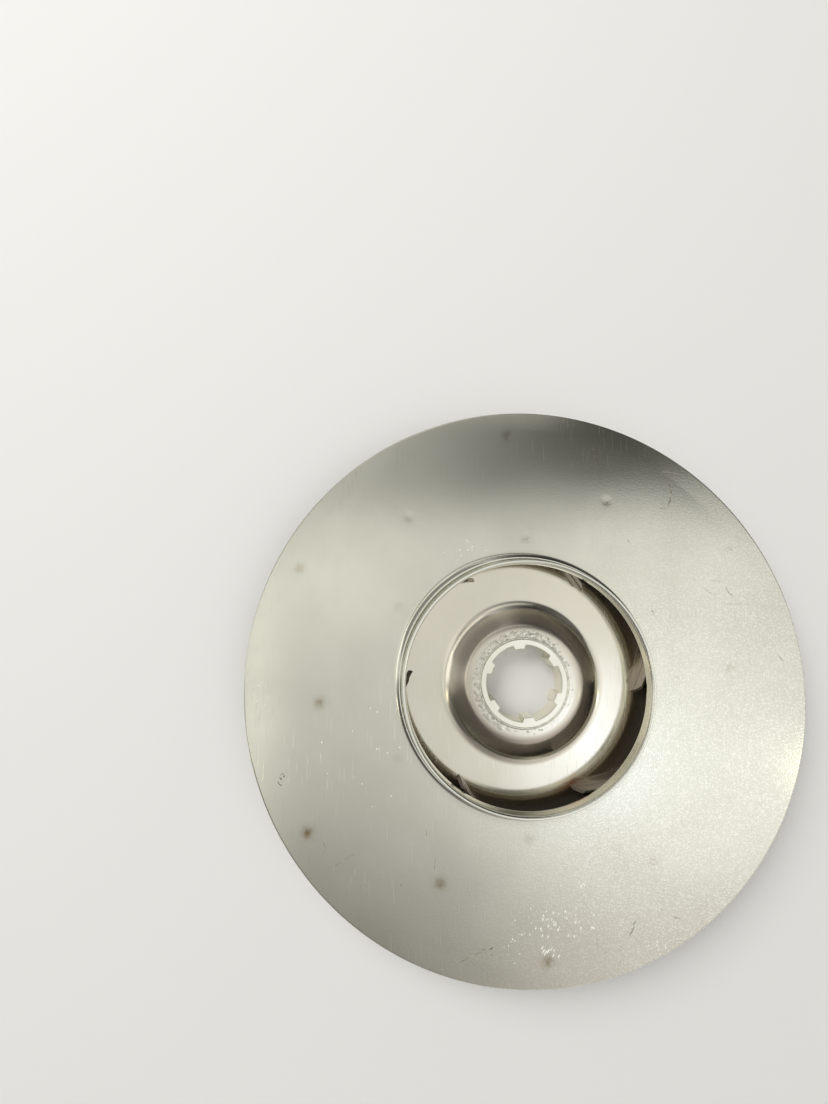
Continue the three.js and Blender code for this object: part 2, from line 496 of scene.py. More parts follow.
class Finishes:
    """The impeller's finishes: stainless steel with five kinds of surface, and small white raised specks."""

    # A soft grey mirror, sandy on one side, where its sparkle is painted as pale grains
    SHROUD = SteelFinish("rolled_2b_stainless_front", hairline_share=0.24)

    # A brighter, warmer mirror with almost no tooth, dull brown where it was drawn and where water stood
    PLATE = SteelFinish("rolled_bright_stainless_plate", "e6e1d2", "e0dbca", stain_tint="b0683a",
                        film_roughness=0.3, film_cover=0.12, grain_depth_mm=(0.0005, 0.001),
                        hairline_share=0.24)

    # A dull brownish grey from the water's film
    VANE = SteelFinish("rolled_stainless_vane", "b3a99b", "a59b8d", metallic=0.75, roughness=0.24)

    # A pale satin face with the lathe's rings
    HUB = SteelFinish("turned_stainless_hub", "fbf9ea", "f2efde", roughness=0.3, ring_mm=0.2, grain_mm=0.3,
                      grain_depth_mm=(0.01, 0.01))

    # A rough skin in patches of pale and darker grey
    SEAM = SteelFinish("stainless_weld_seam", "eae8da", "c4c0b0", roughness=0.3, roughness_spread=0.06,
                       mottle_mm=0.8, grain_mm=0.22, grain_depth_mm=(0.02, 0.02))

    # Matt white grains
    WHITE_SPECKS = SteelFinish("white_raised_specks", "fbf9f2", "f2efe4", metallic=0.0, roughness=0.4, grain_mm=0.1,
                       grain_depth_mm=(0.01, 0.01))


@dataclass(frozen=True)
class WeldRing:
    """Six spot welds at one radius, one for each vane, with how brown each is stained."""

    radius: float
    first_angle_deg: float
    stains: tuple[float, ...]

    def angles_deg(self) -> Array:
        """Returns the directions of the six welds in degrees."""
        return self.first_angle_deg + VANE_PITCH_DEG * np.arange(VANE_COUNT)

    def centres(self) -> Array:
        """Returns the x and y of the six welds in millimetres."""
        angle = np.radians(self.angles_deg())
        return self.radius * np.column_stack([np.cos(angle), np.sin(angle)])


@dataclass(frozen=True)
class SpotWelds:
    """The spot welds that hold the vanes' flanges to a plate."""

    rings: tuple[WeldRing, ...] = (
        WeldRing(53.8, 33.0, (0.08, 0.38, 0.28, 0.7, 0.62, 0.08)),
        WeldRing(43.3, 4.8, (0.2, 0.1, 0.12, 0.5, 0.62, 0.2)),
        WeldRing(31.1, 29.1, (0.1, 0.2, 0.1, 0.1, 0.15, 0.1)),
    )
    dent_radius: float = 0.9
    dent_depth: float = 0.02
    stain_radius: float = 1.15
    dense_half: float = 1.5
    dense_lines: int = 15
    least_step_deg: float = 0.03

    def radii(self) -> tuple[float, ...]:
        """Returns the rings' radii."""
        return tuple(ring.radius for ring in self.rings)

    def angle_lines(self, spacing_deg: float) -> Array:
        """Angles all round in radians: evenly spaced, and closer together through each weld.

        Args:
            spacing_deg: the usual step in degrees.

        Returns:
            The angles in order, from 0 to a full turn without its end.
        """
        angles = np.arange(0, 360, spacing_deg)
        for ring in self.rings:
            half = math.degrees(self.dense_half / ring.radius)
            middle = ring.angles_deg() % 360
            near = np.abs((angles[:, None] - middle + 180) % 360 - 180).min(axis=1) < half
            dense = (middle[:, None] + np.linspace(-half, half, self.dense_lines)).ravel() % 360
            angles = np.concatenate([angles[~near], dense])
        angles = np.unique(np.round(angles, 5))
        return np.radians(angles[np.concatenate([[True], np.diff(angles) > self.least_step_deg])])

    def distance(self, x: Array, y: Array) -> tuple[Array, Array]:
        """The nearest weld of each place.

        Args:
            x: places along X in millimetres.
            y: places along Y.

        Returns:
            The distance to the nearest weld in millimetres, and that weld's stain.
        """
        nearest = np.full(x.shape, np.inf)
        stain = np.zeros(x.shape)
        for ring in self.rings:
            for (cx, cy), strength in zip(ring.centres(), ring.stains):
                away = np.hypot(x - cx, y - cy)
                stain = np.where(away < nearest, strength, stain)
                nearest = np.minimum(nearest, away)
        return nearest, stain

    def dent(self, away: Array) -> Array:
        """A weld's relief: a bell-shaped hollow."""
        return -self.dent_depth * bell(away, self.dent_radius)


@dataclass(frozen=True)
class Scratch:
    """A scored line on the front ring, seen by its low burr, with painted shade along it for the dark of its
    groove.
    """

    name: str
    places: tuple[tuple[float, float], ...]
    width: float = 0.3
    height: float = 0.06
    # How much painted groove shade the burr gets, as stain and film
    soil_and_groove_shade: float = 0.7
    sunk: float = 0.04
    step: float = 0.3
    end_share: float = 0.3
    ripple: float = 0.25
    ripple_rate: float = 19.0

    def path(self) -> Array:
        """The line through the places in short even steps, its corners rounded by averaging three times.

        Returns:
            The x and y of each step.
        """
        corners = np.array(self.places, float)
        chord = np.concatenate([[0], np.cumsum(np.linalg.norm(np.diff(corners, axis=0), axis=1))])
        steps = np.linspace(0, chord[-1], max(5, int(chord[-1] / self.step)))
        line = np.column_stack([np.interp(steps, chord, corners[:, axis]) for axis in (0, 1)])
        for _ in range(3):
            line[1:-1] = (line[:-2] + 2 * line[1:-1] + line[2:]) / 4
        return line

    def burr(self, level: float) -> tuple[Array, Array]:
        """The burr's closed skin: a four-cornered section carried along the path, slimmer towards both ends.

        The section swells with the root of a half sine wave, rippled a little by a faster sine.

        Args:
            level: the height of the sheet's face.

        Returns:
            The points, ordered section by path, and the faces.
        """
        line = self.path()
        count = len(line)
        share = np.linspace(0, 1, count)
        swell = self.end_share + (1 - self.end_share) * np.sin(np.pi * share) ** 0.5
        swell *= 1 + self.ripple * np.sin(self.ripple_rate * share + len(self.name))
        share_across = np.array([-0.5, 0.5, 0.12, -0.12])[:, None, None]
        reach = share_across * self.width * swell[:, None] * right_of(line)
        tall = np.array([-self.sunk, -self.sunk, self.height, self.height])[:, None]
        height = level + tall * np.where(tall > 0, swell, 1.0)
        points = np.concatenate([line + reach, height[..., None]], axis=-1)
        start = np.arange(4)[None] * count
        return points, np.concatenate([ring_faces(4, count, False), start, start[:, ::-1] + count - 1])


@dataclass(frozen=True)
class SpeckPatch:
    """A patch of small raised specks: its place, its count, and how the specks are stretched."""

    name: str
    middle: tuple[float, float]
    reach: tuple[float, float]
    count: int
    stretch: float = 1.0
    slant_deg: float = 90.0
    size: float = 0.17
    # How much dark soil the speck gets, as stain
    soil_and_groove_shade: float = 0.0
    sides: int = 8
    spread: float = 0.45
    size_range: tuple[float, float] = (0.5, 1.4)
    rise: float = 0.38
    shoulder_reach: float = 0.6
    shoulder_rise: float = 0.72
    sunk: float = 0.25

    def bumps(self, level: float) -> tuple[Array, Array]:
        """All specks at once: each an apex, a ring at its shoulder, a ring at its foot and a point below.

        Args:
            level: the height of the sheet's face.

        Returns:
            The points, ordered speck by corner, and the faces.
        """
        draw = np.random.default_rng(sum(map(ord, self.name)))
        scatter = draw.normal(0, self.spread, (self.count, 2)).clip(-1, 1) * self.reach
        size = self.size * draw.uniform(*self.size_range, self.count)
        n = self.sides
        k = np.arange(n)
        turn = 2 * np.pi / n * k
        ring = np.column_stack([np.cos(turn), np.sin(turn)])
        flat = np.concatenate([[(0, 0)], self.shoulder_reach * ring, ring, [(0, 0)]])
        tall = np.concatenate([[1], np.full(n, self.shoulder_rise), np.full(n + 1, -self.sunk)])
        slant = math.radians(self.slant_deg)
        axes = np.array([(math.cos(slant), math.sin(slant)), (-math.sin(slant), math.cos(slant))])
        place = np.array(self.middle) + scatter
        across = place[:, None] + size[:, None, None] * ((flat * (self.stretch, 1.0)) @ axes)
        height = level + self.rise * size[:, None] * tall
        points = np.concatenate([across, height[..., None]], axis=-1)
        even, foot = k[::2], n + 1
        cap = np.column_stack([0 * even, 1 + even, 1 + (even + 1) % n, 1 + (even + 2) % n])
        side = np.column_stack([foot + k, foot + (k + 1) % n, 1 + (k + 1) % n, 1 + k])
        base = foot + np.column_stack([0 * even + n, (even + 2) % n, (even + 1) % n, even])
        one = np.concatenate([cap, side, base])
        return points, (one + len(flat) * np.arange(self.count)[:, None, None]).reshape(-1, 4)


class Wear:
    """The marks of handling on the front ring, in millimetres from the axis."""

    # Painted shade for the scratches' grooves, laid on as stain and film
    GROOVE_SHADE_STAIN = 0.3
    GROOVE_SHADE_FILM = 0.6
    SCRATCHES = (
        Scratch("hooked_gouge", ((32.2, 43.0), (32.7, 42.0), (32.7, 40.1), (32.3, 38.8), (31.8, 37.6)),
                0.42, 0.1),
        Scratch("hook_end", ((31.6, 37.4), (30.9, 37.2), (29.8, 37.6)), 0.3, 0.08, 0.0),
        Scratch("arc_over_gouge", ((29.8, 45.4), (31.3, 45.8), (32.9, 45.7), (35.3, 45.1)), 0.2, 0.05),
        Scratch("long_arc", ((-40.4, -38.2), (-40.2, -37.1), (-39.4, -35.7), (-37.9, -34.5), (-35.5, -33.3))),
        Scratch("wavy_line",
                ((-36.9, -41.2), (-36.6, -39.7), (-36.0, -37.8), (-34.9, -35.6), (-34.5, -33.8))),
        Scratch("small_angle", ((-42.1, -30.6), (-41.2, -32.3), (-42.0, -33.3)), 0.25),
        Scratch("short_upright", ((-19.3, -34.1), (-19.4, -36.3)), 0.25),
        Scratch("short_upright_2", ((-21.1, -28.8), (-21.0, -29.9)), 0.25),
        Scratch("tick", ((-33.4, -38.8), (-32.9, -39.7)), 0.2),
        Scratch("tick_2", ((-25.9, -38.6), (-26.2, -39.5)), 0.2),
        Scratch("low_stroke", ((-14.6, -53.7), (-12.2, -52.6), (-10.0, -51.7)), 0.34, 0.07),
        Scratch("rim_hook", ((-51.4, -19.2), (-50.9, -20.2), (-50.4, -20.0)), 0.3),
        Scratch("bright_upright", ((-35.9, -17.3), (-35.8, -19.5)), 0.24, 0.05, 0.0),
        Scratch("bright_slash", ((21.0, -46.2), (20.2, -47.1)), 0.3, 0.08, 0.0),
        Scratch("bright_slash_2", ((20.6, -47.2), (20.1, -48.2), (19.4, -49.0)), 0.34, 0.08, 0.0),
        Scratch("bright_stroke", ((25.7, -44.0), (26.6, -44.3)), 0.28, 0.07, 0.0),
        Scratch("bright_stroke_2", ((27.4, -44.8), (28.6, -45.7), (30.1, -46.0)), 0.28, 0.07, 0.0),
        Scratch("fine_a", ((36.1, 22.5), (37.2, 21.6)), 0.2, 0.05, 0.0),
        Scratch("fine_b", ((40.3, 21.8), (42.7, 21.6)), 0.2, 0.05, 0.0),
        Scratch("fine_c", ((38.3, 20.4), (41.0, 18.6)), 0.22, 0.05, 0.0),
        Scratch("fine_d", ((43.5, 20.4), (43.9, 19.3), (45.1, 18.3)), 0.26, 0.06, 0.0),
        Scratch("fine_e", ((42.9, 16.8), (47.8, 16.8), (48.9, 16.2)), 0.2, 0.05, 0.0),
        Scratch("fine_f", ((50.7, 16.4), (52.5, 16.4)), 0.2, 0.05, 0.0),
        Scratch("fine_g", ((53.5, 6.3), (54.9, 4.5)), 0.22, 0.05, 0.0),
        Scratch("fine_h", ((27.1, 15.7), (27.6, 14.8)), 0.24, 0.06, 0.0),
        Scratch("fine_i", ((31.3, 1.7), (32.5, 1.1)), 0.24, 0.06, 0.0),
        Scratch("fine_j", ((22.6, 30.6), (23.2, 30.0)), 0.22, 0.05, 0.0),
    )
    SPECKS = (
        SpeckPatch("low_cluster", (5.4, -46.3), (7.0, 4.0), 46, 1.7, 80),
        SpeckPatch("low_left_cluster", (-3.2, -50.5), (3.5, 4.5), 16, 1.4, 90),
        SpeckPatch("low_strokes", (3.6, -51.8), (2.4, 1.2), 9, 3.0, 55),
        SpeckPatch("low_right_cluster", (23.5, -51.0), (4.5, 2.5), 10, 1.5, 60),
        SpeckPatch("mid_cluster", (10.2, -39.2), (1.3, 1.3), 6, 2.0, 80),
        SpeckPatch("neck_row", (-12.5, 28.4), (4.5, 2.2), 12, 1.3, 30, 0.13),
        SpeckPatch("left_side", (-31.5, -16.0), (11.0, 14.0), 13, 1.4, 90, 0.15),
        SpeckPatch("right_side", (44.0, 18.0), (8.0, 6.0), 14, 1.2, 20, 0.15),
        SpeckPatch("left_rim", (-55.5, -1.0), (1.6, 3.0), 5, 1.2, 20, 0.16),
        SpeckPatch("dark_low", (-8.6, -51.4), (1.5, 0.9), 7, 1.6, 70, 0.16, 0.8),
        SpeckPatch("dark_left", (-49.8, -18.9), (1.8, 1.6), 6, 1.2, 80, 0.14, 0.8),
        SpeckPatch("dark_top", (16.3, 48.2), (1.0, 2.6), 4, 1.0, 0, 0.16, 0.8),
    )



@dataclass
class FrontShroud:
    """The flat front ring with the neck drawn up round the eye."""

    welds: SpotWelds
    outer_radius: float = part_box("front_shroud")[1].x / MM
    underside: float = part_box("front_shroud")[0].z / MM
    neck_top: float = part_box("front_shroud")[1].z / MM
    waviness: float = 0.03
    wave_mm: float = 30.0
    wave_seed: int = 5
    flat_from_neck: float = 29.0
    wave_rise: float = 6.0
    wave_fall: float = 4.0
    # The sandy side, where the sparkle is painted as pale grains
    sand_and_sparkle_side_deg: float = -25.0
    sand_and_sparkle_bias: float = 0.3
    least_sand_and_sparkle: float = 0.04
    drawn_side_deg: float = 135.0
    drawn_spread_deg: float = 48.0
    least_fillet: float = 0.5
    bare_rim: float = 1.0

    def section(self) -> Array:
        """The closed section from the rim inwards: ring, fillet, neck, lip, bore, and back underneath.

        Every bend is a quarter circle. The lip is rounded far more on its bore's side than outside.

        Returns:
            Radius and height of the section's points, anticlockwise.
        """
        level, crest, rim = self.underside + SHEET, self.neck_top, self.outer_radius - RIM_EDGE_ROUNDING
        neck, bore, lip = NECK_INNER_RADIUS + NECK_WALL, NECK_INNER_RADIUS, NECK_LIP_ROUNDING
        foot, mouth = neck + NECK_FILLET, bore + NECK_INNER_BEND
        return run(
            straight(graded(rim, foot, 1.5, self.welds.radii()), level),
            arc((foot, level + NECK_FILLET), NECK_FILLET, 270, 180, 16),
            straight(neck, graded(level + NECK_FILLET, crest - NECK_EDGE_ROUNDING, 0.5)),
            arc((neck - NECK_EDGE_ROUNDING, crest - NECK_EDGE_ROUNDING), NECK_EDGE_ROUNDING, 0, 90, 4),
            arc((bore + lip, crest - lip), lip, 90, 180, 8),
            straight(bore, graded(crest - lip, self.underside + NECK_INNER_BEND, 0.5)),
            arc((mouth, self.underside + NECK_INNER_BEND), NECK_INNER_BEND, 180, 270, 10),
            straight(graded(mouth, rim, 2.5), self.underside),
            arc((rim, self.underside + RIM_EDGE_ROUNDING), RIM_EDGE_ROUNDING, 270, 360, 5),
            arc((rim, level - RIM_EDGE_ROUNDING), RIM_EDGE_ROUNDING, 0, 90, 5)[:-1])

    def tighten_fillet(self, points: Array) -> None:
        """Narrows the fillet, except on the side where the ring is drawn in furthest.

        A fillet point's distance from the neck and its height over the ring are multiplied by the same share:
        the least share plus the rest times the bell curve of its bearing from the drawn side.

        Args:
            points: the turned section, which is changed.
        """
        neck, level = NECK_INNER_RADIUS + NECK_WALL, self.underside + SHEET
        radius, rise = np.hypot(points[..., 0], points[..., 1]), points[..., 2] - level
        bearing = np.degrees(np.arctan2(points[..., 1], points[..., 0])) - self.drawn_side_deg
        off = (bearing + 180) % 360 - 180
        share = self.least_fillet + (1 - self.least_fillet) * bell(off, self.drawn_spread_deg)
        slack = 0.01
        beside = (radius > neck) & (radius < neck + NECK_FILLET + slack)
        fillet = beside & (rise > -slack) & (rise < NECK_FILLET)
        narrowed = neck + (radius - neck) * share
        points[..., :2] *= np.where(fillet, narrowed / radius, 1)[..., None]
        points[..., 2] = np.where(fillet, level + rise * share, points[..., 2])

    def build(self) -> None:
        """Turns the section about the axis, sinks the weld dents, waves the ring a little and adds wear."""
        level = self.underside + SHEET
        section = self.section()
        points = turned(section, self.welds.angle_lines(1.3))
        self.tighten_fillet(points)
        x, y = points[..., 0], points[..., 1]
        radius = np.hypot(x, y)
        fade = (ramp(radius, self.flat_from_neck, self.wave_rise)
                * ramp(self.outer_radius - radius, 0, self.wave_fall))
        upper = (section[:, 1] > self.underside + SHEET / 2)[:, None]
        away, stain = self.welds.distance(x, y)
        waves = self.waviness * fade * smooth_noise(x, y, self.wave_mm, self.wave_seed)
        points[..., 2] += waves + upper * self.welds.dent(away)
        mark = bell(away, self.welds.stain_radius)
        film = ramp(level - section[:, 1], 0, SHEET)
        film[section[:, 0] > self.outer_radius - self.bare_rim] = 0
        # Sandy towards the lower right and on the welds right of the axis; there the sparkle is painted as
        # pale grains
        toward = np.cos(np.arctan2(y, x) - math.radians(self.sand_and_sparkle_side_deg))
        sand_and_sparkle_side = np.clip(self.sand_and_sparkle_bias + toward, 0, 1) ** 2
        shell = Shell("front_shroud_sheet")
        shell.add(points, stain=upper * stain * mark, film=film[:, None],
                  sand=self.least_sand_and_sparkle + (1 - self.least_sand_and_sparkle) * sand_and_sparkle_side + (x > 0) * mark)
        # Each scratch's burr, darkened by painted groove shade
        for scratch in Wear.SCRATCHES:
            shell.add(*scratch.burr(level), stain=Wear.GROOVE_SHADE_STAIN * scratch.soil_and_groove_shade,
                      film=Wear.GROOVE_SHADE_FILM * scratch.soil_and_groove_shade, sand=0.0)
        specks = Shell("white_raised_specks")
        for patch in Wear.SPECKS:
            holder = shell if patch.soil_and_groove_shade else specks
            holder.add(*patch.bumps(level), stain=patch.soil_and_groove_shade, film=0.0, sand=0.0)
        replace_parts(shell.piece(Finishes.SHROUD), "front_shroud")
        specks.piece(Finishes.WHITE_SPECKS)


@dataclass
class HubPlate:
    """The flat rear plate with the boss that rises in a cone to the hub."""

    welds: SpotWelds
    outer_radius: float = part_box("hub_plate")[1].x / MM
    underside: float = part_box("hub_plate")[0].z / MM
    boss_top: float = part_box("hub_plate")[1].z / MM
    tint_place: tuple[float, float] = (10.1, -21.6)
    tint_reach: tuple[float, float] = (2.8, 1.0)
    tint_strength: float = 0.75
    film_middle: float = 13.5
    film_reach: float = 1.9
    film_share: float = 0.8
    passage_film_start: float = 25.5
    passage_film_reach: float = 3.0

    def face(self, centres: tuple[float, ...], spacing: float) -> Array:
        """The upper face's line from the rim inwards: flat ring, hollow bend, cone, round edge and flat seat.

        The edge has two radii: a tight bend next to the cone and a wide one next to the seat.

        Args:
            centres: radii round which the points lie close together.
            spacing: the usual step on the flat ring.

        Returns:
            Radius and height of the line's points.
        """
        flat_top = self.underside + SHEET
        slope = math.atan2(self.boss_top - flat_top, BOSS_FOOT_RADIUS - BOSS_TOP_RADIUS)
        foot = (BOSS_FOOT_RADIUS + BOSS_FOOT_BEND * math.tan(slope / 2), flat_top + BOSS_FOOT_BEND)
        flat = straight(graded(self.outer_radius - CUT_EDGE_ROUNDING, foot[0], spacing, centres), flat_top)
        turn, part = math.degrees(slope), BOSS_SHOULDER_TURN_DEG
        hollow = arc(foot, BOSS_FOOT_BEND, 270, 270 - turn, 14)
        shoulder = arc((0, 0), BOSS_SHOULDER_BEND, 90 - part, 90, 8)
        edge = arc((0, 0), BOSS_TOP_BEND, 90 - turn, 90 - part, 10)
        shoulder += (0, self.boss_top - BOSS_SHOULDER_BEND)
        edge += shoulder[0] - edge[-1]
        on_cone = BOSS_TOP_RADIUS + (self.boss_top - edge[0][1]) / math.tan(slope)
        shift = (on_cone - edge[0][0], 0)
        cone = np.linspace(hollow[-1], edge[0] + shift, 6)
        seat = straight(graded(shift[0], PLATE_INNER_RADIUS + CUT_EDGE_ROUNDING, 0.4), self.boss_top)
        return run(flat, hollow, cone, edge + shift, shoulder + shift, seat)

    def build(self) -> None:
        """Turns the section about the axis, sinks weld dents in its underside and tints one place by heat."""
        back = offset_line(self.face(self.welds.radii(), 2.5), SHEET)
        section = closed_section(self.face((), 1.0), back, CUT_EDGE_ROUNDING)
        points = turned(section, self.welds.angle_lines(1.5))
        x, y = points[..., 0], points[..., 1]
        lower = (section[:, 1] < self.underside + SHEET / 2)[:, None]
        away, stain = self.welds.distance(x, y)
        points[..., 2] -= lower * self.welds.dent(away)
        heading = np.array(self.tint_place) / np.hypot(*self.tint_place)
        outward = (x * heading[0] + y * heading[1] - np.hypot(*self.tint_place)) / self.tint_reach[1]
        sideways = (x * heading[1] - y * heading[0]) / self.tint_reach[0]
        tint = self.tint_strength * bell(np.hypot(outward, sideways), 1)
        radius = np.hypot(x, y)
        film = (self.film_share * bell(radius - self.film_middle, self.film_reach)
                + ramp(radius, self.passage_film_start, self.passage_film_reach))
        shell = Shell("hub_plate_sheet")
        shell.add(points, film=film, stain=np.where(lower, stain * bell(away, self.welds.stain_radius), tint))
        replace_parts(shell.piece(Finishes.PLATE), "hub_plate")


@dataclass
class SplinedHub:
    """The turned bush with six spline teeth."""

    length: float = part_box("splined_hub")[1].z / MM
    collar_radius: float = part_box("splined_hub")[1].x / MM
    chamfer: float = 0.14
    flank_deg: float = 8.5

    def bore(self, angles: Array) -> Array:
        """The bore's radius: the tip's on a tooth, the root's between, straight flanks at the sides.

        Args:
            angles: directions in radians.

        Returns:
            The radius in each direction.
        """
        pitch = 2 * np.pi / TOOTH_COUNT
        off_tooth = np.abs((angles - math.radians(TOOTH_PHASE_DEG) + pitch / 2) % pitch - pitch / 2)
        root = math.asin(TOOTH_ROOT_WIDTH / 2 / BORE_RADIUS)
        tip = math.asin(TOOTH_TIP_WIDTH / 2 / TOOTH_TIP_RADIUS)
        return TOOTH_TIP_RADIUS + (BORE_RADIUS - TOOTH_TIP_RADIUS) * ramp(off_tooth, tip, root - tip)

    def angle_lines(self) -> Array:
        """Returns angles all round in radians, close together on the teeth's flanks."""
        middle = TOOTH_PHASE_DEG + 360 / TOOTH_COUNT * np.arange(TOOTH_COUNT)
        flanks = np.concatenate([middle - self.flank_deg, middle + self.flank_deg]) % 360
        return np.radians(graded(0, 360, 2.5, tuple(flanks), 1.6, 0.2)[:-1])

    def build(self) -> None:
        """Turns the bush's section, which is bevelled at its corners and follows the teeth in its bore."""
        c, top, collar = self.chamfer, self.length, self.collar_radius
        spigot, bore = SPIGOT_RADIUS, BORE_RADIUS
        outside = [(collar - c, 0), (collar, c), (collar, COLLAR_LENGTH - c), (collar - c, COLLAR_LENGTH),
                   (spigot, COLLAR_LENGTH), (spigot, top - c), (spigot - c, top), (spigot - 2 * c, top)]
        inside = [(bore + 2 * c, top), (bore + c, top), (bore, top - c), (bore, top - 2 * c),
                  (bore, 2 * c), (bore, c), (bore + c, 0), (bore + 2 * c, 0)]
        radius, height = np.array(outside + inside + [(collar - 2 * c, 0)], float).T[:, :, None]
        toothed = np.repeat((0, 1, 0), (len(outside), len(inside), 1))[:, None]
        angles = self.angle_lines()
        reach = radius + toothed * (self.bore(angles) - bore)
        points = np.stack([reach * np.cos(angles), reach * np.sin(angles), height + 0 * reach], axis=-1)
        shell = Shell("splined_hub_bush")
        shell.add(points)
        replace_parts(shell.piece(Finishes.HUB, 30), "splined_hub")


@dataclass
class HubWeld:
    """The weld that joins the bush to the plate: a pitted skin on the plate's crest, with a groove inside it.

    It is rough on one side. On the other the metal has run smooth, and only its highest grains stand above
    the plate's face.
    """

    plate: HubPlate
    inner_radius: float = SPIGOT_RADIUS - 0.05
    outer_radius: float = 11.7
    groove_radius: float = PLATE_INNER_RADIUS + 0.05
    groove_depth: float = 0.22
    groove_lift: float = 0.2
    rough_side_deg: float = 145.0
    rough_bias: float = 0.75
    rough_span: float = 1.1
    least_roughness: float = 0.35
    sunk: float = 0.035
    raised: float = 0.065
    outer_fade: float = 1.3
    skin_depth: float = 0.6
    pit_count: int = 1500
    pit_seed: int = 11
    pit_margin: float = 0.3
    pit_span: float = 0.85
    pit_size: tuple[float, float] = (0.12, 0.26)
    pit_height: tuple[float, float] = (-0.05, 0.055)

    def roughness(self, angles: Array) -> Array:
        """How pitted the weld is: one on its rough side, a third opposite, and an S-curve between."""
        toward = np.cos(angles - math.radians(self.rough_side_deg))
        share = eased(ramp(toward, -self.rough_bias, self.rough_span))
        return self.least_roughness + (1 - self.least_roughness) * share

    def pits(self, x: Array, y: Array) -> Array:
        """The sum of many small bell-shaped hollows and grains, spread over the skin.

        Args:
            x: places along X in millimetres.
            y: places along Y.

        Returns:
            The relief at each place.
        """
        draw = np.random.default_rng(self.pit_seed)
        reach = (self.outer_radius - self.inner_radius) * draw.beta(1.3, 1.7, self.pit_count)
        radius = self.inner_radius + self.pit_margin + self.pit_span * reach
        angle = draw.uniform(0, 2 * np.pi, self.pit_count)
        size = draw.uniform(*self.pit_size, self.pit_count)
        height = draw.uniform(*self.pit_height, self.pit_count)
        relief = np.zeros(x.shape)
        for px, py, width, tall in zip(radius * np.cos(angle), radius * np.sin(angle), size, height):
            relief += tall * np.exp(-((x - px) ** 2 + (y - py) ** 2) / width ** 2)
        return relief

    def build(self) -> None:
        """Lays the skin on the plate's line and pits it. It rises over the plate only where it is rough."""
        angles = np.linspace(0, 2 * np.pi, 721)[:-1]
        radii = np.linspace(self.outer_radius, self.inner_radius, 30)
        under = np.linspace(self.inner_radius, self.outer_radius, 4)
        top = self.plate.boss_top
        points = turned(straight(np.concatenate([radii, under]), top - self.skin_depth), angles)
        rough = self.roughness(angles)
        line = self.plate.face((), 1.0)[::-1]
        on_plate = np.interp(radii, line[:, 0], line[:, 1])[:, None]
        fade = ramp(self.outer_radius - radii, 0, self.outer_fade)[:, None]
        groove = top - self.groove_depth * (rough - self.groove_lift)
        skin = np.where((radii < self.groove_radius)[:, None], groove,
                        on_plate - self.sunk + self.raised * rough * fade)
        upper = points[:len(radii)]
        upper[..., 2] = skin + rough * fade * self.pits(upper[..., 0], upper[..., 1])
        shell = Shell("hub_weld_seam")
        shell.add(points)
        shell.piece(Finishes.SEAM, 80)


